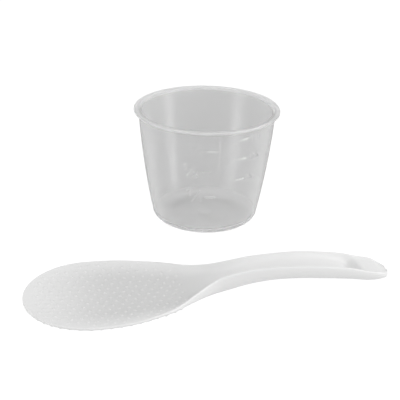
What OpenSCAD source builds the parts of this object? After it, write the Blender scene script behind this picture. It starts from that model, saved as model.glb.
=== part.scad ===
// The loose pieces that come with a rice cooker: a translucent measuring cup and a
// dotted serving paddle. Millimetres, +Z up, with the pieces standing on Z = 0.
// The origin is the centre of the cup's base, and the paddle lies along X.

/* [Measuring cup] */
// Outer diameter of the rim flange
cup_rim_d = 76.4; // [74:0.2:78]
// Height of the cup
cup_height = 60.5; // [56:0.5:64]
// Thickness of the rim flange
flange_t = 1.2; // [0.8:0.1:1.6]
// Thickness of the side wall
cup_wall_t = 1.1; // [0.9:0.1:1.4]
// Thickness of the floor
cup_floor_t = 1.4; // [1.2:0.1:2]
// Outer radius of the wall just under the flange
wall_top_r = 35.8; // [35.4:0.1:36.2]
// How far the wall leans in from the flange to the base
wall_taper = 4.3; // [3.6:0.1:5]
// How much more the wall leans in towards the base, as a curve
wall_curve = 4.3; // [3.4:0.1:5]
// Radius where the wall turns into the base
base_corner_r = 3.8; // [3:0.1:4.5]

/* [Measuring marks] */
// Direction that the marks face, counted from +X
marks_angle = -104; // [-180:1:180]
// How far a mark stands proud of the wall
mark_proud = 0.35; // [0.2:0.05:0.5]
// Width of a mark's rib
mark_w = 0.7; // [0.5:0.1:1]

/* [Paddle] */
// Length of the paddle
paddle_len = 174; // [165:1:185]
// Greatest width of the blade
blade_w = 61.4; // [56:0.2:66]
// Width of the handle at its slimmest
handle_w = 14.6; // [12:0.2:16]
// Depth of the scoop below the blade's rim
scoop_depth = 3.3; // [2.4:0.1:3.6]
// Width of the flat land along the handle's rim
rim_land = 1.4; // [1:0.1:1.8]
// Thickness of the blade's rim
blade_edge_t = 1; // [0.8:0.1:1.6]

/* [Layout] */
// Distance from the cup's axis to the paddle's centre line
paddle_gap = 84.4; // [74:0.2:100]
// How far the blade's tip lies to the left of the cup's axis
paddle_left = 103.6; // [95:0.2:115]

/* [Hidden] */
$fn = 96;
wall_h = cup_height - flange_t;
wall_steps = 16;
inner_corner_r = base_corner_r - 0.9;
rib_bite = 0.4;
// Marks: height, then the angles where the rib starts and ends
fraction_marks = [[23.6, 1, 9], [37.8, -3, 3], [49.3, 1, 9]];
volume_marks = [[32.2, 28, 36], [43.9, 28, 36], [54.5, 28, 36]];
scale_bar = [35, 56, 11, 12.4];

// Paddle outlines: [part of the length from the tip, value]
oval_end = 0.18;
round_end = 0.92;
half_width = [
    [oval_end, blade_w / 2],
    [0.27, blade_w / 2 - 1.4],
    [0.36, blade_w * 0.393],
    [0.40, blade_w * 0.329],
    [0.44, blade_w * 0.244],
    [0.48, handle_w / 2 + 3.3],
    [0.52, handle_w / 2 + 0.7],
    [0.60, handle_w / 2],
    [0.75, handle_w / 2 + 1.1],
    [round_end, handle_w / 2 + 1.4],
];
rim_height = [
    [0, 4.4], [0.12, 4.8], [0.25, 4.9], [0.36, 5.5], [0.44, 7.3], [0.52, 10.6], [0.60, 12.8],
    [0.67, 13.2], [0.74, 12.8], [0.81, 11.5], [0.88, 9.5], [0.93, 7.1], [0.97, 5.6], [1, 3.6],
];
underside_height = [
    [0, 0], [0.36, 0], [0.44, 0.1], [0.52, 0.7], [0.60, 3.4],
    [0.67, 4.7], [0.74, 4.4], [0.81, 3.2], [0.88, 1.8], [0.94, 0.4], [1, 0],
];
channel_depth = [
    [0, scoop_depth], [0.25, scoop_depth], [0.36, scoop_depth + 0.4], [0.44, scoop_depth + 0.6],
    [0.52, 3.7], [0.60, 3], [0.80, 2.8], [0.87, 3.8], [0.90, 5.5], [0.92, 1.5], [0.938, 0.9], [1, 0.8],
];
handle_edge_t = 1.8;
ring_gap = 0.02;
end_rings = 8;
outer_steps = 18;
inner_steps = 12;

// Outer and inner radius of the cup's wall at height z
function lean(z) = 1 - z / wall_h;
function corner_cut(r, z) = z < r ? r - sqrt(r * r - (r - z) * (r - z)) : 0;
function wall_r(z) = wall_top_r - wall_taper * lean(z) - wall_curve * lean(z) * lean(z);
function cup_outer_r(z) = wall_r(z) - corner_cut(base_corner_r, z);
function cup_inner_r(z) = wall_r(z) - cup_wall_t - corner_cut(inner_corner_r, z - cup_floor_t);

// Heights from z0 to z1, closer together near z0
function heights(z0, z1) = [for (i = [0:wall_steps]) z0 + (z1 - z0) * pow(i / wall_steps, 2)];

// A smooth curve through a table of [position, value] points
function span_of(table, x, i = 0) = i < len(table) - 2 && x > table[i + 1][0] ? span_of(table, x, i + 1) : i;
function secant(table, i, j) = (table[j][1] - table[i][1]) / (table[j][0] - table[i][0]);
function slope(table, i) = i == 0 || i == len(table) - 1 ? 0 : secant(table, i - 1, i + 1);
function hermite(u, p, q, m, n) =
    p * (1 + 2 * u) * (1 - u) * (1 - u) + q * u * u * (3 - 2 * u)
    + m * u * (1 - u) * (1 - u) - n * u * u * (1 - u);
function curve_at(table, x) =
    let(i = span_of(table, x), h = table[i + 1][0] - table[i][0], u = (x - table[i][0]) / h)
    hermite(u, table[i][1], table[i + 1][1], h * slope(table, i), h * slope(table, i + 1));

// How round the ends are: 0 at the very tip, 1 where the rounding stops
function tip_round(t) = t < oval_end ? sqrt(1 - pow(1 - t / oval_end, 2)) : 1;
function tail_round(t) = t > round_end ? pow(1 - pow((t - round_end) / (1 - round_end), 2.7), 1 / 2.7) : 1;
function half_w(t) = curve_at(half_width, min(max(t, oval_end), round_end)) * tip_round(t) * tail_round(t);
function end_fade(t) = pow(tip_round(t), 2) * pow(tail_round(t), 0.8);

// 0 in the blade, where the section is a dish, and 1 in the handle, where it is a trough
function handle_blend(t) = let(u = min(max((t - 0.28) / 0.2, 0), 1)) u * u * (3 - 2 * u);
function edge_t(t) = blade_edge_t + (handle_edge_t - blade_edge_t) * handle_blend(t);
function mix(a, b, u) = a + (b - a) * u;

// One closed section of the paddle at t: the underside from +Y to -Y, then the top from -Y to +Y
function section(t) =
    let(
        w = half_w(t),
        top = curve_at(rim_height, t),
        lip = top - edge_t(t),
        outer_d = (lip - max(curve_at(underside_height, t), 0)) * end_fade(t),
        inner_w = w - min(mix(blade_edge_t, rim_land, handle_blend(t)), 0.3 * w),
        inner_d = curve_at(channel_depth, t) * end_fade(t),
        side = mix(2, 2.8, handle_blend(t)),
        belly = mix(1, 0.42, handle_blend(t)),
        floor_power = mix(2, 5.5, handle_blend(t))
    )
    concat(
        [for (i = [0:outer_steps])
            let(c = cos(180 * i / outer_steps))
            [w * c, lip - outer_d * pow(max(1 - pow(abs(c), side), 0), belly)]],
        [[-w, top]],
        [for (i = [0:inner_steps])
            let(c = -cos(180 * i / inner_steps))
            [inner_w * c, top - inner_d * (1 - pow(abs(c), floor_power))]],
        [[w, top]]
    );

// Places of the sections, closer together towards the two round ends
function end_spacing(i) = 1 - cos(90 * pow(i / end_rings, 1.5));
ring_places = concat(
    [for (i = [1:end_rings - 1]) oval_end * end_spacing(i)],
    [for (t = [oval_end:ring_gap:round_end - ring_gap / 2]) t],
    [for (i = [end_rings:-1:1]) 1 - (1 - round_end) * end_spacing(i)]
);
section_points = outer_steps + inner_steps + 4;

module paddle_sweep() {
    rings = [for (t = ring_places) [for (p = section(t)) [t * paddle_len, p[0], p[1]]]];
    last = len(rings) - 1;
    tip = [0, 0, rim_height[0][1] - blade_edge_t / 2];
    tail = [paddle_len, 0, rim_height[len(rim_height) - 1][1] - handle_edge_t / 2];
    tip_point = len(rings) * section_points;
    sides = [
        for (j = [0:last - 1], i = [0:section_points - 1])
            let(a = j * section_points, b = a + section_points, k = (i + 1) % section_points)
            each [[a + i, a + k, b + i], [a + k, b + k, b + i]]
    ];
    caps = [
        for (i = [0:section_points - 1])
            let(k = (i + 1) % section_points, a = last * section_points)
            each [[tip_point, k, i], [tip_point + 1, a + i, a + k]]
    ];
    polyhedron(concat([for (r = rings) each r], [tip, tail]), concat(sides, caps));
}

// A raised rib that follows the cup's wall, between two heights and two angles
module wall_rib(z0, z1, a0, a1) {
    levels = [for (i = [0:6]) z0 + (z1 - z0) * i / 6];
    rotate([0, 0, marks_angle + a0])
        rotate_extrude(angle = a1 - a0)
            polygon(concat(
                [for (z = levels) [cup_outer_r(z) - rib_bite, z]],
                [for (i = [6:-1:0]) [cup_outer_r(levels[i]) + mark_proud, levels[i]]]
            ));
}

module measuring_cup() {
    inner_top = cup_height;
    outer = [for (z = heights(0, wall_h)) [cup_outer_r(z), z]];
    inner = [for (z = heights(cup_floor_t, inner_top)) [cup_inner_r(z), z]];
    color("gainsboro", 0.6) {
        rotate_extrude()
            difference() {
                polygon(concat(
                    [[0, 0]], outer,
                    [[cup_rim_d / 2, wall_h], [cup_rim_d / 2, cup_height], [0, cup_height]]
                ));
                polygon(concat([[0, cup_floor_t]], inner, [[wall_top_r - cup_wall_t, 2 * cup_height],
                    [0, 2 * cup_height]]));
            }
        for (m = concat(fraction_marks, volume_marks))
            wall_rib(m[0] - mark_w / 2, m[0] + mark_w / 2, m[1], m[2]);
        wall_rib(scale_bar[0], scale_bar[1], scale_bar[2], scale_bar[3]);
    }
}

module rice_paddle() {
    color("white")
        translate([-paddle_left, -paddle_gap, 0])
            paddle_sweep();
}

measuring_cup();
rice_paddle();
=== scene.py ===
"""Looks of a rice cooker's measuring cup and serving paddle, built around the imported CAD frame.

The cup and the paddle are worked out in millimetres, and made in metres. The studio is in metres.
"""

import math

import bmesh
import bpy
import numpy as np
from mathutils import Matrix, Vector
from mathutils.geometry import delaunay_2d_cdt


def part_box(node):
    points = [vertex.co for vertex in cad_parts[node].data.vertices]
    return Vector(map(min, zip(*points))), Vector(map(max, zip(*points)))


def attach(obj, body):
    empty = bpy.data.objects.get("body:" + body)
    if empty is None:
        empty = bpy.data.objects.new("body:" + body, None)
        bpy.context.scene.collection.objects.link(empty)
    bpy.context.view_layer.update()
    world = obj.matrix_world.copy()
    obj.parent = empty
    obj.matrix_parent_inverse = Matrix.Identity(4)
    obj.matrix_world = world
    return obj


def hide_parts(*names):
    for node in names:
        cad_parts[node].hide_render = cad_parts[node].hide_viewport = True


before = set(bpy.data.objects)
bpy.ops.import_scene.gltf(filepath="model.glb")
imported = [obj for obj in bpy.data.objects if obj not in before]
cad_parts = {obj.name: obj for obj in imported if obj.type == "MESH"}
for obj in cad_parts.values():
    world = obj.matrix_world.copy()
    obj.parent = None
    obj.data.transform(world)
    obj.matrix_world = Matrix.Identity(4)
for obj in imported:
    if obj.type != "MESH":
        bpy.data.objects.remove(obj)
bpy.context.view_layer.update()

MM = 0.001
TINY = 1e-6
cup_low, cup_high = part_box("measuring_cup")
paddle_low, paddle_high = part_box("rice_paddle")

# ---------------------------------------------------------------- the cup, in millimetres

# The same profile as the CAD cup, with the roundings of a real moulding added
CUP_HEIGHT = (cup_high.z - cup_low.z) / MM
CUP_RIM_R = (cup_high.x - cup_low.x) / MM / 2
FLANGE_T = 1.2
CUP_WALL_T = 1.1
CUP_FLOOR_T = 1.4
WALL_H = CUP_HEIGHT - FLANGE_T
WALL_TOP_R = 35.8
WALL_TAPER = 4.3
WALL_CURVE = 4.3
BASE_CORNER_R = 3.8
INNER_CORNER_R = 2.9
FLANGE_EDGE_R = 0.55
FLANGE_FILLET_R = 0.7
RIM_INNER_FILLET_R = 1.1
# The underside is recessed as far out as the first radius, and stands on the table from the second
FOOT_RECESS_R = 15.0
FOOT_INNER_R = 21.5
FOOT_RECESS = 0.4
# The moulding's gate mark, a low disc in the middle of the floor
GATE_R = 3.2
GATE_H = 0.2
# Its rounded edge: (distance out from its radius, part of its height)
GATE_EDGE = [(0.15, 0), (0, 0.7), (-0.25, 1)]
GATE_INNER_R = GATE_R / 4

# Steps of the cup's mesh
CORNER_STEPS = 10
FLANGE_STEPS = 5
MOUTH_STEPS = 7
FLOOR_STEPS = 8
LOW_WALL_STEPS = 13
INNER_WALL_STEPS = 33
# Where the mesh's rings on the underside and on the floor start and end
UNDER_FIRST_RINGS = [GATE_R * 0.6, GATE_R]
UNDER_RINGS_FROM = 5.0
FOOT_TO_CORNER = 1.0
FLOOR_TO_CORNER = 1.5
FLOOR_TO_GATE = 1.0
# The part of the wall that carries marks has a finer mesh: heights, and angles from MARKS_ANGLE
MARKS_LOW, MARKS_HIGH = 20.0, 57.2
MARKS_FROM, MARKS_TO = -22.0, 54.0
# Its rows are this far apart, its columns this many degrees, and the rest has this many columns
MARKS_ROW = 0.3
MARKS_TURN = 0.5
COARSE_COLUMNS = 236

# Marks: angles in degrees from the direction that the marks face, and heights
MARKS_ANGLE = -104.0
MARK_PROUD = 0.35
MARK_W = 0.7
MARK_EDGE = 0.34
FRACTION_MARKS = [("1", "4", 23.6, 1, 9), ("1", "2", 37.8, -3, 3), ("3", "4", 49.3, 1, 9)]
VOLUME_MARKS = [("80", 32.2), ("120", 43.9), ("160", 54.5)]
VOLUME_TICK = (28, 36)
SCALE_BAR = (35.0, 56.0, 11.7)
SCALE_BAR_STEPS = 11

# Numbers beside the marks
NUMBER_STROKE = 0.75
NUMBER_PROUD = 0.22
# Upper number, slash and lower number: (distance from the line's start, height above it, size)
FRACTION_LAYOUT = [(-9.5, 0.6, 3.3), (-7.2, -2.6, 6.2), (-4.2, -2.9, 3.3)]
VOLUME_DIGIT_H = 3.0
VOLUME_DIGIT_PITCH = 2.6
VOLUME_DIGIT_GAP = 1.4

# How milky the marks, the flange and the gate are: 0 is the clear wall, 1 the milkiest
MARK_MILK = 0.14
FLANGE_MILK = 0.45
GATE_MILK = 1.0
# How frosted milky places are: this many times as much, up to a limit
FROST_PER_MILK = 4
MILKY_FROST_LIMIT = 0.8
# Frost at the foot of the wall: (level, height that it reaches, height over which it comes in)
OUTER_FROST = (0.3, 4.4, 1.4)
INNER_FROST = (1.0, 5.6, 2.4)
# How far past their shapes the zones of the flange, and of the gate and the inside, reach
FLANGE_ZONE_MARGIN = 0.2
ZONE_MARGIN = 0.1

# ---------------------------------------------------------------- the paddle, in millimetres

# Tables of (part of the length from the tip, value), as in CAD
PADDLE_LEN = (paddle_high.x - paddle_low.x) / MM
PADDLE_HALF = (paddle_high.y - paddle_low.y) / MM / 2
HANDLE_HALF = 7.3
SCOOP_DEPTH = 3.3
OVAL_END = 0.18
ROUND_END = 0.92
HALF_WIDTH = [
    (OVAL_END, PADDLE_HALF), (0.27, PADDLE_HALF - 1.4), (0.36, PADDLE_HALF * 0.786),
    (0.40, PADDLE_HALF * 0.658), (0.44, PADDLE_HALF * 0.488), (0.48, HANDLE_HALF + 3.3),
    (0.52, HANDLE_HALF + 0.7), (0.60, HANDLE_HALF), (0.75, HANDLE_HALF + 1.1),
    (ROUND_END, HANDLE_HALF + 1.4),
]
RIM_HEIGHT = [
    (0, 4.4), (0.12, 4.8), (0.25, 4.9), (0.36, 5.5), (0.44, 7.3), (0.52, 10.6), (0.60, 12.8),
    (0.67, 13.2), (0.74, 12.8), (0.81, 11.5), (0.88, 9.5), (0.93, 7.1), (0.97, 5.6), (1, 3.6),
]
UNDERSIDE_HEIGHT = [
    (0, 0), (0.36, 0), (0.44, 0.1), (0.52, 0.7), (0.60, 3.4),
    (0.67, 4.7), (0.74, 4.4), (0.81, 3.2), (0.88, 1.8), (0.94, 0.4), (1, 0),
]
CHANNEL_DEPTH = [
    (0, SCOOP_DEPTH), (0.25, SCOOP_DEPTH), (0.36, SCOOP_DEPTH + 0.4), (0.44, SCOOP_DEPTH + 0.6),
    (0.52, 3.7), (0.60, 3), (0.80, 2.8), (0.87, 3.8), (0.90, 5.5), (0.92, 1.5), (0.938, 0.9), (1, 0.8),
]

# Where the blade starts to turn into the handle, and how far it takes, as parts of the length
HANDLE_FROM, HANDLE_FADE = 0.28, 0.2
# Pairs of values, for the blade and for the handle, which change smoothly between them
EDGE_T = (1.0, 1.8)
RIM_LAND = (1.0, 1.4)
RIM_DROP = (0.1, 0.35)
SIDE_POWER = (2, 2.8)
BELLY_POWER = (1, 0.42)
CHANNEL_POWER = (2, 5.5)
# The land takes up no more than this part of the half width
LAND_LIMIT = 0.3
# How square the handle's end is, and how fast the depth fades there
TAIL_POWER = 2.7
TAIL_FADE_POWER = 0.8
# How full the rim's rounded bead is: 1 is an ellipse
BEAD_POWER = 0.75

# Steps of the paddle's mesh: across the underside, across the top, and over each bead
OUTER_STEPS = 44
INNER_STEPS = 36
BEAD_STEPS = 8
SECTION_POINTS = OUTER_STEPS + INNER_STEPS + 2 * BEAD_STEPS
# Rings of the mesh: many at the tip, evenly spaced in the middle, and crowded to the handle's end
TIP_RINGS = 46
MIDDLE_GAP = 0.0063
TAIL_RINGS = 26
TAIL_CROWDING = 1.4
# The last ones would lie too close together, so this many are left out
TAIL_RINGS_LEFT_OUT = 4

# Dots on both faces of the blade
DOT_PITCH = 4.4
DOT_R = 0.85
DOT_H = 0.36
DOT_SIDES = 10
# Rings of a dot: (part of its radius, part of its height)
DOT_RINGS = [(1.3, 0.0), (1.0, 0.22), (0.78, 0.62), (0.45, 0.92)]
# Where the dotted patches start and end, as parts of the length
DOT_FIRST, DOT_END = 0.018, 0.43
# The belly lies a dot's height up where there are dots, and comes down behind them
LIFT_END, LIFT_FADE = 0.4, 0.1
# Steps of the section beside each dotted patch that keep their plain mesh
UNDER_MARGIN_STEPS = 3
TOP_MARGIN_STEPS = 2
# Clear space inside a patch: to its sides, and to its two ends as parts of the length
DOT_MARGIN, DOT_START_GAP, DOT_END_GAP = 1.9, 0.012, 0.008
FILL_MARGIN, FILL_START_GAP, FILL_END_GAP = 0.9, 0.006, 0.004
FILL_PITCH = DOT_PITCH / 3
FILL_DOT_GAP = 0.35

# The row of dots just under the blade's rim, and its shape over the section's first steps
RIM_DOT_H = 0.6
RIM_DOT_SHAPE = {1: 0.35, 2: 0.85, 3: 1.0}
# Where the row starts, and how far it takes to come in and to go out, as parts of the length
RIM_DOT_FROM, RIM_DOT_IN, RIM_DOT_OUT = 0.01, 0.02, 0.04
RIM_SAMPLES = 400

# The blade's matt zone, which also darkens its colour as painted shade, comes in from the tip, goes out
# before its end, and fades to the sides
MATT_SHADE_IN, MATT_SHADE_END, MATT_SHADE_OUT = 0.26, 0.62, 0.24
# In half widths: where it would end, and how far it takes to fade
MATT_SHADE_SIDE, MATT_SHADE_SIDE_FADE = 1.08, 0.6
# How much less matt the top of a dot is, and how much less painted shade it gets, which paints it lighter
# as a painted highlight
DOT_GLOSS_AND_HIGHLIGHT = 0.5

# ---------------------------------------------------------------- the studio, in metres and degrees

# The photograph's view: turned against the paddle's length, and looking down
CAMERA_LENS = 89.91
CAMERA_SENSOR = 36
CAMERA_PLACE = (-0.11887, -0.47997, 0.23065)
CAMERA_TURN = -13.618
CAMERA_DOWN = 24.276
CAMERA_ROLL = 1.387
CAMERA_REACH = 20

FLOOR_HALF = 60.0
FLOOR_BRIGHTNESS = 0.98

# Softboxes: name, azimuth from +X, elevation, distance, (width, height), power
SOFTBOXES = [
    ("softbox_right", -27, 28, 0.8, (0.35, 0.6), 1.9),
    ("softbox_left", -150, 30, 0.8, (0.35, 0.6), 0.9),
    ("softbox_back", 76, 40, 1.2, (1.8, 0.5), 0.4),
]
SOFTBOX_AIM = (0, -0.06, 0.02)
# This one only lights what it reaches: it isn't seen in reflections or through the cup
UNREFLECTED = "softbox_back"

# Brightness of the room: (place from straight down, 0, to straight up, 1; level)
WORLD_LEVELS = [
    (0.0, 0.98), (0.2, 0.7), (0.3, 0.57), (0.45, 0.61), (0.55, 0.76), (0.72, 0.83), (1.0, 0.86),
]
# Soft glows low in the room, in front and behind: (azimuth from +X, elevation, level, focus)
WORLD_GLOWS = [(-31, -2, 4.2, 46), (-161, -2, 3.2, 46), (20, -28, 0.3, 10), (132, -28, 0.3, 10)]

# ---------------------------------------------------------------- material values

CUP_COLOUR = (0.92, 0.92, 0.92, 1)
CUP_IOR = 1.45
CUP_SPECULAR = 0.9
# Clear and milkiest, smooth and most frosted
CUP_TRANSMISSION = (0.88, 0.4)
CUP_ROUGHNESS = (0.08, 0.4)
# Fine grain: noise scale, bump strength, bump distance in metres
CUP_GRAIN = (900, 0.06, 0.0002)
PADDLE_GRAIN = (700, 0.1, 0.0002)
GRAIN_DETAIL = 3
# Plain and matt zone of the paddle; the matt zone's darker colour is painted shade
PADDLE_COLOURS_PLAIN_AND_SHADED = ((0.74, 0.74, 0.738, 1), (0.6, 0.6, 0.598, 1))
PADDLE_ROUGHNESS = (0.3, 0.6)
PADDLE_IOR = 1.49


# ---------------------------------------------------------------- small helpers

def new_object(name, data):
    """An object in the scene for a mesh, a light or a camera."""
    obj = bpy.data.objects.new(name, data)
    bpy.context.scene.collection.objects.link(obj)
    return obj


def new_piece(name, points, faces):
    """A mesh object from points in millimetres, smooth shaded, with every face turned outward."""
    mesh = bpy.data.meshes.new(name)
    mesh.from_pydata([tuple(p) for p in np.asarray(points) * MM], [], faces)
    mesh.update()
    mesh.shade_smooth()
    work = bmesh.new()
    work.from_mesh(mesh)
    bmesh.ops.recalc_face_normals(work, faces=work.faces)
    work.to_mesh(mesh)
    work.free()
    return new_object(name, mesh)


def add_zone(piece, name, values):
    """Keeps one value for each point of a piece, for its material to read."""
    attribute = piece.data.attributes.new(name, "FLOAT", "POINT")
    attribute.data.foreach_set("value", values)


def ellipse(cx, cy, rx, ry, start, end, steps=10):
    """Points on a part of an ellipse, angles in degrees."""
    angles = np.radians(np.linspace(start, end, steps + 1))
    return [(cx + rx * math.cos(a), cy + ry * math.sin(a)) for a in angles]


def arc(cx, cy, r, start, end, steps):
    """Points on a part of a circle, angles in degrees."""
    return ellipse(cx, cy, r, r, start, end, steps)


def unit_vector(azimuth, elevation):
    """The direction towards a place in the room. Azimuth counts from +X."""
    a, e = math.radians(azimuth), math.radians(elevation)
    return Vector((math.cos(a) * math.cos(e), math.sin(a) * math.cos(e), math.sin(e)))


def smooth_step(x):
    """0 up to x = 0, 1 from x = 1, and smooth between them."""
    u = np.clip(x, 0, 1)
    return u * u * (3 - 2 * u)


def curve_at(table, x):
    """A smooth curve through a table, with the same slopes as in CAD."""
    xs = np.array([p[0] for p in table], float)
    ys = np.array([p[1] for p in table], float)
    slopes = np.zeros(len(xs))
    slopes[1:-1] = (ys[2:] - ys[:-2]) / (xs[2:] - xs[:-2])
    x = np.asarray(x, float)
    i = np.clip(np.searchsorted(xs, x, side="left") - 1, 0, len(xs) - 2)
    h = xs[i + 1] - xs[i]
    u = (x - xs[i]) / h
    return (ys[i] * (1 + 2 * u) * (1 - u) ** 2 + ys[i + 1] * u * u * (3 - 2 * u)
            + h * slopes[i] * u * (1 - u) ** 2 - h * slopes[i + 1] * u * u * (1 - u))


def new_material(name, values):
    """A material and its shader, with constants set on the shader's sockets."""
    material = bpy.data.materials.new(name)
    material.use_nodes = True
    shader = material.node_tree.nodes["Principled BSDF"]
    for socket, value in values.items():
        shader.inputs[socket].default_value = value
    return material, shader


# ---------------------------------------------------------------- camera, floor and light

def make_camera():
    """The photograph's view."""
    data = bpy.data.cameras.new("camera")
    data.lens = CAMERA_LENS
    data.sensor_width = CAMERA_SENSOR
    data.clip_end = CAMERA_REACH
    camera = new_object("camera", data)
    turn = Matrix.Rotation(math.radians(CAMERA_TURN), 4, "Z")
    tilt = Matrix.Rotation(math.radians(90 - CAMERA_DOWN), 4, "X")
    roll = Matrix.Rotation(math.radians(CAMERA_ROLL), 4, "Z")
    camera.matrix_world = Matrix.Translation(Vector(CAMERA_PLACE)) @ turn @ tilt @ roll
    bpy.context.scene.camera = camera


def make_floor():
    """A plain white floor. It shows as white, and leaves the light on the object to the studio."""
    half = FLOOR_HALF
    mesh = bpy.data.meshes.new("floor")
    mesh.from_pydata([(-half, -half, 0), (half, -half, 0), (half, half, 0), (-half, half, 0)],
                     [], [(0, 1, 2, 3)])
    floor = new_object("floor", mesh)
    material, _ = new_material("floor_white", {
        "Base Color": (0.1, 0.1, 0.1, 1),
        "Roughness": 1.0,
        "Specular IOR Level": 0,
        "Emission Color": (1, 1, 1, 1),
        "Emission Strength": FLOOR_BRIGHTNESS,
    })
    mesh.materials.append(material)
    floor.visible_diffuse = False
    floor.visible_glossy = False
    floor.visible_transmission = False
    floor.visible_shadow = False


def make_softbox(name, azimuth, elevation, distance, size, power):
    """A rectangular softbox aimed at the object."""
    data = bpy.data.lights.new(name, "AREA")
    data.shape = "RECTANGLE"
    data.size, data.size_y = size
    data.energy = power
    light = new_object(name, data)
    offset = unit_vector(azimuth, elevation)
    light.location = Vector(SOFTBOX_AIM) + offset * distance
    light.rotation_euler = offset.to_track_quat("Z", "Y").to_euler()
    light.visible_camera = False
    light.visible_glossy = name != UNREFLECTED
    light.visible_transmission = name != UNREFLECTED


def math_node(tree, operation, value, constant):
    """The output of a Math node that works on a socket and a constant."""
    node = tree.nodes.new("ShaderNodeMath")
    node.operation = operation
    node.inputs[1].default_value = constant
    tree.links.new(value, node.inputs[0])
    return node.outputs["Value"]


def make_glow(tree, direction, azimuth, elevation, level, focus):
    """A soft round glow in one direction of the room."""
    towards = tree.nodes.new("ShaderNodeVectorMath")
    towards.operation = "DOT_PRODUCT"
    towards.inputs[1].default_value = unit_vector(azimuth, elevation)
    tree.links.new(direction, towards.inputs[0])
    ahead = math_node(tree, "MAXIMUM", towards.outputs["Value"], 0)
    focused = math_node(tree, "POWER", ahead, focus)
    return math_node(tree, "MULTIPLY", focused, level)


def make_world():
    """A grey room, darkest a little below the table's level, with soft glows."""
    world = bpy.data.worlds.new("studio")
    world.use_nodes = True
    tree = world.node_tree
    direction = tree.nodes.new("ShaderNodeTexCoord").outputs["Generated"]
    parts = tree.nodes.new("ShaderNodeSeparateXYZ")
    remap = tree.nodes.new("ShaderNodeMapRange")
    remap.inputs["From Min"].default_value = -1
    ramp = tree.nodes.new("ShaderNodeValToRGB")
    stops = ramp.color_ramp.elements
    stops[1].position = 1.0
    for place, _ in WORLD_LEVELS[1:-1]:
        stops.new(place)
    for stop, (_, level) in zip(stops, WORLD_LEVELS):
        stop.color = (level, level, level, 1)
    tree.links.new(direction, parts.inputs["Vector"])
    tree.links.new(parts.outputs["Z"], remap.inputs["Value"])
    tree.links.new(remap.outputs["Result"], ramp.inputs["Fac"])
    total = ramp.outputs["Color"]
    for glow in WORLD_GLOWS:
        both = tree.nodes.new("ShaderNodeVectorMath")
        both.operation = "ADD"
        tree.links.new(total, both.inputs[0])
        tree.links.new(make_glow(tree, direction, *glow), both.inputs[1])
        total = both.outputs["Vector"]
    tree.links.new(total, tree.nodes["Background"].inputs["Color"])
    bpy.context.scene.world = world


def make_light():
    """The room and the softboxes, seen without any tone curve."""
    make_world()
    for softbox in SOFTBOXES:
        make_softbox(*softbox)
    view = bpy.context.scene.view_settings
    view.view_transform = "Standard"
    view.look = "None"


# ---------------------------------------------------------------- materials

def zone_value(tree, name):
    """The values that add_zone kept on the piece."""
    zone = tree.nodes.new("ShaderNodeAttribute")
    zone.attribute_name = name
    return zone.outputs["Fac"]


def set_by_zone(material, shader, zone, socket, limits):
    """Makes a shader's socket go from the first limit to the second as the zone goes from 0 to 1."""
    tree = material.node_tree
    blend = tree.nodes.new("ShaderNodeMapRange")
    blend.inputs["To Min"].default_value, blend.inputs["To Max"].default_value = limits
    tree.links.new(zone, blend.inputs["Value"])
    tree.links.new(blend.outputs["Result"], shader.inputs[socket])


def add_fine_bump(material, shader, scale, strength, distance):
    """A fine moulded grain, in object space, on the material's normal."""
    tree = material.node_tree
    place = tree.nodes.new("ShaderNodeTexCoord")
    noise = tree.nodes.new("ShaderNodeTexNoise")
    noise.inputs["Scale"].default_value = scale
    noise.inputs["Detail"].default_value = GRAIN_DETAIL
    bump = tree.nodes.new("ShaderNodeBump")
    bump.inputs["Strength"].default_value = strength
    bump.inputs["Distance"].default_value = distance
    tree.links.new(place.outputs["Object"], noise.inputs["Vector"])
    tree.links.new(noise.outputs["Fac"], bump.inputs["Height"])
    tree.links.new(bump.outputs["Normal"], shader.inputs["Normal"])


def cup_plastic():
    """Translucent polypropylene, less clear where it is milky and rougher where it is frosted."""
    material, shader = new_material("cup_polypropylene", {
        "Base Color": CUP_COLOUR,
        "IOR": CUP_IOR,
        "Specular IOR Level": CUP_SPECULAR,
    })
    tree = material.node_tree
    set_by_zone(material, shader, zone_value(tree, "frosted"), "Roughness", CUP_ROUGHNESS)
    set_by_zone(material, shader, zone_value(tree, "milky"), "Transmission Weight", CUP_TRANSMISSION)
    add_fine_bump(material, shader, *CUP_GRAIN)
    return material


def paddle_plastic():
    """White moulded polypropylene: glossy, and matt between the blade's dots, where its colour is also
    painted darker as painted shade.
    """
    material, shader = new_material("paddle_polypropylene", {"IOR": PADDLE_IOR})
    tree = material.node_tree
    matt_and_shade = zone_value(tree, "matt_and_painted_shade_zone")
    colour = tree.nodes.new("ShaderNodeMix")
    colour.data_type = "RGBA"
    colour.inputs["A"].default_value, colour.inputs["B"].default_value = PADDLE_COLOURS_PLAIN_AND_SHADED
    # Painted shade: the matt zone darkens the base colour
    tree.links.new(matt_and_shade, colour.inputs["Factor"])
    tree.links.new(colour.outputs["Result"], shader.inputs["Base Color"])
    set_by_zone(material, shader, matt_and_shade, "Roughness", PADDLE_ROUGHNESS)
    add_fine_bump(material, shader, *PADDLE_GRAIN)
    return material


# ---------------------------------------------------------------- measuring cup

def wall_r(z):
    """Radius of the wall's outside at height z."""
    lean = 1 - z / WALL_H
    return WALL_TOP_R - WALL_TAPER * lean - WALL_CURVE * lean ** 2


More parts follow.
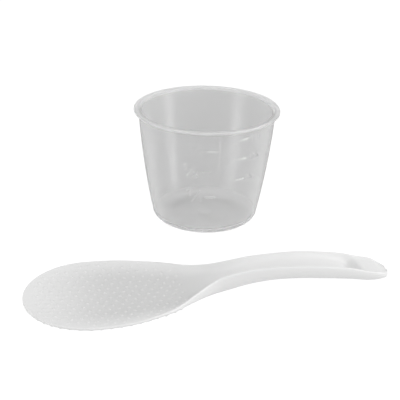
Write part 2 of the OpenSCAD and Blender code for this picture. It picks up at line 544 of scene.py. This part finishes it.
def foot_profile():
    """The underside, from its middle: the recess, a soft step down, and the foot."""
    radii = [0, *UNDER_FIRST_RINGS, *np.linspace(UNDER_RINGS_FROM, FOOT_RECESS_R, FLOOR_STEPS)]
    profile = [(r, FOOT_RECESS) for r in radii]
    for r in np.linspace(FOOT_RECESS_R, FOOT_INNER_R, FLOOR_STEPS + 1)[1:]:
        down = smooth_step((r - FOOT_RECESS_R) / (FOOT_INNER_R - FOOT_RECESS_R))
        profile.append((r, FOOT_RECESS * (1 - down)))
    profile.append((wall_r(0) - BASE_CORNER_R - FOOT_TO_CORNER, 0))
    return profile


def corner_profile(corner_r, low_z, inset):
    """The rounding at the foot of the wall, upwards, at a distance in from the wall's outside."""
    profile = []
    for a in np.radians(np.linspace(0, 90, CORNER_STEPS + 1)):
        z = low_z + corner_r * (1 - math.cos(a))
        profile.append((wall_r(z) - inset - corner_r * (1 - math.sin(a)), z))
    return profile


def flange_profile():
    """The fillet under the flange, the flange's rounded edge, and the rounding of the cup's mouth."""
    fillet_z = WALL_H - FLANGE_FILLET_R
    edge_r = CUP_RIM_R - FLANGE_EDGE_R
    mouth_z = CUP_HEIGHT - RIM_INNER_FILLET_R
    mouth_r = wall_r(mouth_z) - CUP_WALL_T + RIM_INNER_FILLET_R
    return (arc(wall_r(fillet_z) + FLANGE_FILLET_R, fillet_z, FLANGE_FILLET_R, 180, 90, FLANGE_STEPS)
            + arc(edge_r, WALL_H + FLANGE_EDGE_R, FLANGE_EDGE_R, -90, 0, FLANGE_STEPS)
            + arc(edge_r, CUP_HEIGHT - FLANGE_EDGE_R, FLANGE_EDGE_R, 0, 90, FLANGE_STEPS)
            + arc(mouth_r, mouth_z, RIM_INNER_FILLET_R, 90, 180, MOUTH_STEPS))


def gate_profile():
    """The gate mark in the middle of the floor, from its edge inwards."""
    edge = [(GATE_R + out, CUP_FLOOR_T + GATE_H * rise) for out, rise in GATE_EDGE]
    return edge + [(r, CUP_FLOOR_T + GATE_H) for r in (GATE_INNER_R, 0)]


def cup_profile():
    """The cup's closed profile (radius, height), from the middle of the underside, up the outside,
    over the flange, down the inside, and in to the middle of the floor."""
    low_wall = np.linspace(BASE_CORNER_R, MARKS_LOW, LOW_WALL_STEPS + 1)[1:]
    marked_wall = np.arange(MARKS_LOW + MARKS_ROW, MARKS_HIGH, MARKS_ROW)
    outside = [(wall_r(z), z) for z in [*low_wall, *marked_wall]]
    mouth_z = CUP_HEIGHT - RIM_INNER_FILLET_R
    inner_wall = np.linspace(mouth_z, CUP_FLOOR_T + INNER_CORNER_R, INNER_WALL_STEPS + 1)[1:]
    inside = [(wall_r(z) - CUP_WALL_T, z) for z in inner_wall]
    # Downwards, and without its top point, which the wall already has
    inner_corner = corner_profile(INNER_CORNER_R, CUP_FLOOR_T, CUP_WALL_T)[-2::-1]
    floor_r = inner_corner[-1][0] - FLOOR_TO_CORNER
    floor = [(r, CUP_FLOOR_T) for r in np.linspace(floor_r, GATE_R + FLOOR_TO_GATE, FLOOR_STEPS + 1)]
    return (foot_profile() + corner_profile(BASE_CORNER_R, 0, 0) + outside + flange_profile()
            + inside + inner_corner + floor + gate_profile())


# Strokes of plain numbers in a box 0.6 wide and 1 high
GLYPHS = {
    "0": [ellipse(0.3, 0.5, 0.3, 0.5, 0, 360, 20)],
    "1": [[(0.1, 0.78), (0.34, 1), (0.34, 0)]],
    "2": [ellipse(0.3, 0.71, 0.29, 0.29, 170, -40) + [(0, 0), (0.6, 0)]],
    "3": [ellipse(0.28, 0.76, 0.26, 0.24, 150, -90) + ellipse(0.28, 0.26, 0.3, 0.26, 90, -150)],
    "4": [[(0.44, 0), (0.44, 1), (0, 0.32), (0.6, 0.32)]],
    "6": [[(0.48, 1), (0.06, 0.45)] + ellipse(0.3, 0.3, 0.29, 0.3, 160, 520, 20)],
    "8": [ellipse(0.3, 0.76, 0.24, 0.24, 0, 360, 18), ellipse(0.3, 0.27, 0.29, 0.27, 0, 360, 18)],
    "/": [[(0, 0), (0.6, 1)]],
}


def placed(glyph, x, z, size):
    """A glyph's strokes, as lines of (distance round the wall, height)."""
    return [[(x + p * size, z + q * size) for p, q in line] for line in GLYPHS[glyph]]


def tick_span(z, angle_from, angle_to):
    """Where a short line at height z starts and ends, as distances round the wall."""
    mm_per_degree = math.radians(wall_r(z))
    return angle_from * mm_per_degree, angle_to * mm_per_degree


def line_marks():
    """The short lines and the upright bar, as lines of (distance round the wall, height)."""
    ticks = [(z, a0, a1) for _, _, z, a0, a1 in FRACTION_MARKS]
    ticks += [(z, *VOLUME_TICK) for _, z in VOLUME_MARKS]
    lines = []
    for z, a0, a1 in ticks:
        start, end = tick_span(z, a0, a1)
        lines.append([(start, z), (end, z)])
    z0, z1, angle = SCALE_BAR
    heights = np.linspace(z0, z1, SCALE_BAR_STEPS + 1)
    lines.append([(angle * math.radians(wall_r(z)), z) for z in heights])
    return lines


def number_marks():
    """The strokes of all the numbers, as lines of (distance round the wall, height)."""
    lines = []
    for upper, lower, z, a0, a1 in FRACTION_MARKS:
        start, _ = tick_span(z, a0, a1)
        for glyph, (right, up, size) in zip((upper, "/", lower), FRACTION_LAYOUT):
            lines += placed(glyph, start + right, z + up, size)
    for digits, z in VOLUME_MARKS:
        _, end = tick_span(z, *VOLUME_TICK)
        for i, digit in enumerate(digits):
            x = end + VOLUME_DIGIT_GAP + VOLUME_DIGIT_PITCH * i
            lines += placed(digit, x, z - VOLUME_DIGIT_H / 2, VOLUME_DIGIT_H)
    return lines


def line_distance(x, z, line):
    """Distance of points (x, z) to a line of straight stretches."""
    best = np.full(np.shape(x), np.inf)
    for (x0, z0), (x1, z1) in zip(line, line[1:]):
        dx, dz = x1 - x0, z1 - z0
        u = np.clip(((x - x0) * dx + (z - z0) * dz) / (dx * dx + dz * dz + TINY * TINY), 0, 1)
        best = np.minimum(best, np.hypot(x - x0 - u * dx, z - z0 - u * dz))
    return best


def mark_height(x, z):
    """How far the outside of the wall stands proud at a distance x round it and a height z."""
    height = np.zeros(np.shape(x))
    for lines, half, proud in (
        (line_marks(), MARK_W / 2, MARK_PROUD),
        (number_marks(), NUMBER_STROKE / 2, NUMBER_PROUD),
    ):
        for line in lines:
            edge = (half + MARK_EDGE / 2 - line_distance(x, z, line)) / MARK_EDGE
            height = np.maximum(height, proud * smooth_step(edge))
    return height


def cup_faces(rows, columns):
    """Faces of a grid that is closed round the cup, with a fan at each end to a last point."""
    faces = []
    under, floor = rows * columns, rows * columns + 1
    last = (rows - 1) * columns
    for row in range(0, last, columns):
        for j in range(columns):
            k = (j + 1) % columns
            faces.append((row + j, row + k, row + columns + k, row + columns + j))
    for j in range(columns):
        k = (j + 1) % columns
        faces.append((under, k, j))
        faces.append((floor, last + j, last + k))
    return faces


def low_frost(z, level, reach, fade):
    """Frost that is full at the foot of the wall and ends at the height that it reaches."""
    return level * smooth_step((reach - z) / fade)


def cup_zones(r, z, proud):
    """How milky and how frosted each point of the cup is, from its radius, height and mark."""
    milky = MARK_MILK * proud / MARK_PROUD
    milky = np.where(z > WALL_H - FLANGE_ZONE_MARGIN, FLANGE_MILK, milky)
    on_gate = (z > CUP_FLOOR_T) & (z < BASE_CORNER_R) & (r < GATE_R + ZONE_MARGIN)
    milky = np.where(on_gate, GATE_MILK, milky)
    frosted = np.minimum(FROST_PER_MILK * milky, MILKY_FROST_LIMIT)
    frosted = np.maximum(frosted, low_frost(z, *OUTER_FROST))
    inside = (z > CUP_FLOOR_T - ZONE_MARGIN) & (r < wall_r(z) - CUP_WALL_T / 2)
    frosted = np.where(inside, np.maximum(frosted, low_frost(z, *INNER_FROST)), frosted)
    return milky, frosted


def make_cup():
    """The measuring cup, as one closed mesh turned from its profile, with the marks raised on it."""
    profile = np.array(cup_profile())
    fine = np.arange(MARKS_FROM, MARKS_TO, MARKS_TURN)
    coarse = np.linspace(MARKS_TO, MARKS_FROM + 360, COARSE_COLUMNS + 1)[:-1]
    angles = np.concatenate([fine, coarse])
    rows, columns = len(profile) - 2, len(angles)
    r = np.repeat(profile[1:-1, 0:1], columns, axis=1)
    z = np.repeat(profile[1:-1, 1:2], columns, axis=1)
    around = np.repeat(angles[None, :], rows, axis=0)
    from_marks = np.where(around > 180, around - 360, around)
    outside = (np.abs(r - wall_r(z)) < TINY) & (z > BASE_CORNER_R)
    proud = np.where(outside, mark_height(np.radians(from_marks) * r, z), 0)
    r = r + proud
    direction = np.radians(around + MARKS_ANGLE)
    points = np.stack([r * np.cos(direction), r * np.sin(direction), z], axis=-1).reshape(-1, 3)
    ends = [(0, 0, profile[0, 1]), (0, 0, profile[-1, 1])]
    cup = new_piece("measuring_cup_body", np.concatenate([points, ends]), cup_faces(rows, columns))
    for name, values in zip(("milky", "frosted"), cup_zones(r, z, proud)):
        add_zone(cup, name, np.concatenate([values.reshape(-1), [values[0, 0], values[-1, 0]]]))
    cup.data.materials.append(cup_plastic())
    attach(cup, "cup")
    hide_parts("measuring_cup")


# ---------------------------------------------------------------- rice paddle: its form

def tip_round(t):
    """0 at the blade's tip, rising as an oval to 1."""
    return np.sqrt(np.clip(1 - (1 - np.minimum(t, OVAL_END) / OVAL_END) ** 2, 0, 1))


def tail_round(t):
    """1 along the handle, falling to 0 round its end."""
    u = np.clip((np.maximum(t, ROUND_END) - ROUND_END) / (1 - ROUND_END), 0, 1)
    return (1 - u ** TAIL_POWER) ** (1 / TAIL_POWER)


def end_fade(t):
    """How much of the paddle's depth is left at t, near its two ends."""
    return tip_round(t) ** 2 * tail_round(t) ** TAIL_FADE_POWER


def half_w(t):
    """Half the paddle's width."""
    return curve_at(HALF_WIDTH, np.clip(t, OVAL_END, ROUND_END)) * tip_round(t) * tail_round(t)


def along(pair, t):
    """The value at t of something that goes from the blade's value to the handle's."""
    blade, handle = pair
    return blade + (handle - blade) * smooth_step((t - HANDLE_FROM) / HANDLE_FADE)


def across(y, half):
    """How far out y lies: 0 on the centre line, 1 at half the width and beyond."""
    return np.clip(np.abs(y) / np.maximum(half, TINY), 0, 1)


def lip_z(t):
    """Height of the rim's lower edge."""
    return curve_at(RIM_HEIGHT, t) - along(EDGE_T, t)


def underside_z(t, y):
    """Height of the underside at a place. The blade's belly is lifted by the dots under it."""
    lift = DOT_H * (1 - smooth_step((t - LIFT_END) / LIFT_FADE))
    low = np.maximum(curve_at(UNDERSIDE_HEIGHT, t), 0) + lift
    bulge = np.clip(1 - across(y, half_w(t)) ** along(SIDE_POWER, t), 0, 1) ** along(BELLY_POWER, t)
    return lip_z(t) - (lip_z(t) - low) * end_fade(t) * bulge


def inner_w(t):
    """Half the width of the scoop or the trough, inside the rim."""
    w = half_w(t)
    return w - np.minimum(along(RIM_LAND, t), LAND_LIMIT * w)


def top_z(t, y):
    """Height of the scoop's or the trough's surface at a place."""
    drop = along(RIM_DROP, t) * np.sqrt(end_fade(t))
    depth = np.maximum(curve_at(CHANNEL_DEPTH, t) * end_fade(t) - drop, 0)
    dish = 1 - across(y, inner_w(t)) ** along(CHANNEL_POWER, t)
    return curve_at(RIM_HEIGHT, t) - drop - depth * dish


def rim_dots(t):
    """How far the row of dots just under the blade's rim stands down at t."""
    places = np.linspace(0, DOT_END, RIM_SAMPLES)
    steps = np.hypot(np.diff(places) * PADDLE_LEN, np.diff(half_w(places)))
    distance = np.interp(t, places[1:], np.cumsum(steps))
    fade = smooth_step((t - RIM_DOT_FROM) / RIM_DOT_IN) * smooth_step((DOT_END - t) / RIM_DOT_OUT)
    return RIM_DOT_H * fade * np.maximum(np.cos(2 * np.pi * distance / DOT_PITCH), 0) ** 2


def bead_points(t):
    """The rounded bead of the rim on the +Y side, from its lower outer edge up and inwards."""
    w, iw = float(half_w(t)), float(inner_w(t))
    land = (w - iw) / 2
    outer_z, inner_z = float(lip_z(t)), float(top_z(t, iw))
    top = float(curve_at(RIM_HEIGHT, t))
    bead = []
    for i in range(1, BEAD_STEPS):
        a = math.pi * i / BEAD_STEPS
        out, rise = abs(math.cos(a)) ** BEAD_POWER, math.sin(a) ** BEAD_POWER
        side, start = (1, outer_z) if a < math.pi / 2 else (-1, inner_z)
        bead.append((w - land + side * land * out, start + (top - start) * rise))
    return bead


def section(t):
    """One closed section: under from +Y to -Y, the bead of the rim, the top back to +Y, the other bead."""
    outer = np.cos(np.pi * np.arange(OUTER_STEPS + 1) / OUTER_STEPS) * float(half_w(t))
    inner = -np.cos(np.pi * np.arange(INNER_STEPS + 1) / INNER_STEPS) * float(inner_w(t))
    dot = float(rim_dots(t))
    points = []
    for i, y in enumerate(outer):
        down = dot * RIM_DOT_SHAPE.get(min(i, OUTER_STEPS - i), 0)
        points.append((y, float(underside_z(t, y)) - down))
    bead = bead_points(t)
    points += [(-y, z) for y, z in bead]
    points += [(y, float(top_z(t, y))) for y in inner]
    points += reversed(bead)
    return points


def quarter_turn(u):
    """0 at u = 0 and 1 at u = 1, slow at first, as a quarter of a circle bends away."""
    return 1 - np.cos(np.pi / 2 * u)


def ring_places():
    """Places of the sections along the paddle."""
    tip = OVAL_END * quarter_turn(np.arange(1, TIP_RINGS + 1) / TIP_RINGS)
    middle = np.arange(OVAL_END, ROUND_END, MIDDLE_GAP)[1:]
    tail_steps = np.arange(TAIL_RINGS, TAIL_RINGS_LEFT_OUT, -1) / TAIL_RINGS
    tail = 1 - (1 - ROUND_END) * quarter_turn(tail_steps ** TAIL_CROWDING)
    return np.concatenate([tip, middle, tail])


# ---------------------------------------------------------------- rice paddle: its dots and its mesh

class Skin:
    """The paddle's mesh while it grows: points, how far each rises on a dot, and faces."""

    def __init__(self):
        self.points = []
        self.rises = []
        self.faces = []

    def add(self, x, y, z, rise=0.0):
        """Adds a point and says which one it is."""
        self.points.append((x, y, z))
        self.rises.append(rise)
        return len(self.points) - 1


def staggered(pitch, half, start, end, margin):
    """Places in staggered rows, inside the outline half(t) by a margin and between start and end."""
    row_step = pitch * math.sqrt(3) / 2
    rows = int(PADDLE_HALF / row_step) + 1
    for row in range(-rows, rows + 1):
        shift = pitch / 2 if row % 2 else 0
        for i in range(int(PADDLE_LEN / pitch)):
            x, y = shift + i * pitch, row * row_step
            t = x / PADDLE_LEN
            if start < t < end and abs(y) < float(half(t)) - margin:
                yield x, y


def dot_points(centres):
    """Points of small domes: (x, y, rise) for each, as rings and a middle."""
    points = []
    for x, y in centres:
        for ring, rise in DOT_RINGS:
            r = DOT_R * ring
            for a in 2 * math.pi * np.arange(DOT_SIDES) / DOT_SIDES:
                points.append((x + r * math.cos(a), y + r * math.sin(a), rise * DOT_H))
        points.append((x, y, DOT_H))
    return points


def filler_points(centres, half, start, end):
    """Points that fill the surface between the dots."""
    clear = DOT_R * DOT_RINGS[0][0] + FILL_DOT_GAP
    points = []
    for x, y in staggered(FILL_PITCH, half, start + FILL_START_GAP, end - FILL_END_GAP, FILL_MARGIN):
        if np.hypot(centres[:, 0] - x, centres[:, 1] - y).min() >= clear:
            points.append((x, y, 0.0))
    return points


def add_patch(skin, border, height, sign, half, start, end):
    """Fills the patch inside a border of the skin's points with a surface that carries dots.
    The dots stand out by sign times their height."""
    centres = np.array(list(
        staggered(DOT_PITCH, half, start + DOT_START_GAP, end - DOT_END_GAP, DOT_MARGIN)))
    inside = dot_points(centres) + filler_points(centres, half, start, end)
    flat = [Vector(skin.points[i][:2]) for i in border]
    flat += [Vector((x, y)) for x, y, _ in inside]
    count = len(border)
    edges = [(i, (i + 1) % count) for i in range(count)]
    verts, _, tris, origin, _, _ = delaunay_2d_cdt(flat, edges, [], 1, TINY)
    index = []
    for (x, y), from_points in zip(verts, origin):
        if from_points and from_points[0] < count:
            index.append(border[from_points[0]])
            continue
        rise = inside[from_points[0] - count][2] if from_points else 0.0
        index.append(skin.add(x, y, float(height(x / PADDLE_LEN, y)) + sign * rise, rise))
    for tri in tris:
        skin.faces.append(tuple(index[i] for i in tri))


def add_rings(skin, places, first, last, cuts):
    """Adds the sections and the faces between them, but for the cuts between rings first and last."""
    for t in places:
        for y, z in section(t):
            skin.add(t * PADDLE_LEN, y, z)
    for j in range(len(places) - 1):
        for i in range(SECTION_POINTS):
            if first <= j < last and any(c[0] <= i < c[1] for c in cuts):
                continue
            a, b = j * SECTION_POINTS, (j + 1) * SECTION_POINTS
            k = (i + 1) % SECTION_POINTS
            skin.faces.append((a + i, a + k, b + k, b + i))


def cut_border(first, last, cut):
    """The points round a cut: over the first ring, along one side, back over the last, and back."""
    border = [first * SECTION_POINTS + i for i in range(cut[0], cut[1] + 1)]
    border += [j * SECTION_POINTS + cut[1] for j in range(first + 1, last + 1)]
    border += [last * SECTION_POINTS + i for i in range(cut[1] - 1, cut[0] - 1, -1)]
    border += [j * SECTION_POINTS + cut[0] for j in range(last - 1, first, -1)]
    return border


def add_ends(skin, rings):
    """Closes the paddle at its tip and at the handle's end."""
    tip = skin.add(0, 0, RIM_HEIGHT[0][1] - EDGE_T[0] / 2)
    tail = skin.add(PADDLE_LEN, 0, RIM_HEIGHT[-1][1] - EDGE_T[1] / 2)
    end = (rings - 1) * SECTION_POINTS
    for i in range(SECTION_POINTS):
        k = (i + 1) % SECTION_POINTS
        skin.faces.append((tip, i, k))
        skin.faces.append((tail, end + k, end + i))


def under_half(t):
    """Half the width of the dotted patch under the blade."""
    return half_w(t) * math.cos(math.pi * UNDER_MARGIN_STEPS / OUTER_STEPS)


def top_half(t):
    """Half the width of the dotted patch in the scoop."""
    return inner_w(t) * math.cos(math.pi * TOP_MARGIN_STEPS / INNER_STEPS)


def matt_and_painted_shade_zone(t, y, rise):
    """1 well inside the dotted part of the blade, less at its margins and on the dots. It makes the blade
    matt, and darkens its colour as painted shade.
    """
    lengthways = smooth_step(t / MATT_SHADE_IN) * smooth_step((MATT_SHADE_END - t) / MATT_SHADE_OUT)
    sideways = np.abs(y) / np.maximum(half_w(t), TINY)
    matt_and_shade = lengthways * smooth_step((MATT_SHADE_SIDE - sideways) / MATT_SHADE_SIDE_FADE)
    # Dot tops get less of the painted shade, so they show as painted highlights
    return matt_and_shade * (1 - rise / DOT_H * DOT_GLOSS_AND_HIGHLIGHT)


def make_paddle():
    """The rice paddle, as one closed mesh: sections along it, and two patches that carry the dots."""
    places = ring_places()
    first, last = [int(i) for i in np.searchsorted(places, (DOT_FIRST, DOT_END))]
    top_start = OUTER_STEPS + BEAD_STEPS
    under_cut = (UNDER_MARGIN_STEPS, OUTER_STEPS - UNDER_MARGIN_STEPS)
    top_cut = (top_start + TOP_MARGIN_STEPS, top_start + INNER_STEPS - TOP_MARGIN_STEPS)
    skin = Skin()
    add_rings(skin, places, first, last, (under_cut, top_cut))
    for cut, height, sign, half in (
        (under_cut, underside_z, -1, under_half),
        (top_cut, top_z, 1, top_half),
    ):
        border = cut_border(first, last, cut)
        add_patch(skin, border, height, sign, half, places[first], places[last])
    add_ends(skin, len(places))
    points = np.array(skin.points)
    shift = np.array([paddle_low.x, (paddle_low.y + paddle_high.y) / 2, 0]) / MM
    paddle = new_piece("rice_paddle_body", points + shift, skin.faces)
    matt_and_shade = matt_and_painted_shade_zone(points[:, 0] / PADDLE_LEN, points[:, 1], np.array(skin.rises))
    # This zone makes the blade matt and also paints shade into its colour
    add_zone(paddle, "matt_and_painted_shade_zone", matt_and_shade)
    paddle.data.materials.append(paddle_plastic())
    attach(paddle, "paddle")
    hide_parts("rice_paddle")


make_camera()
make_floor()
make_light()
make_cup()
make_paddle()
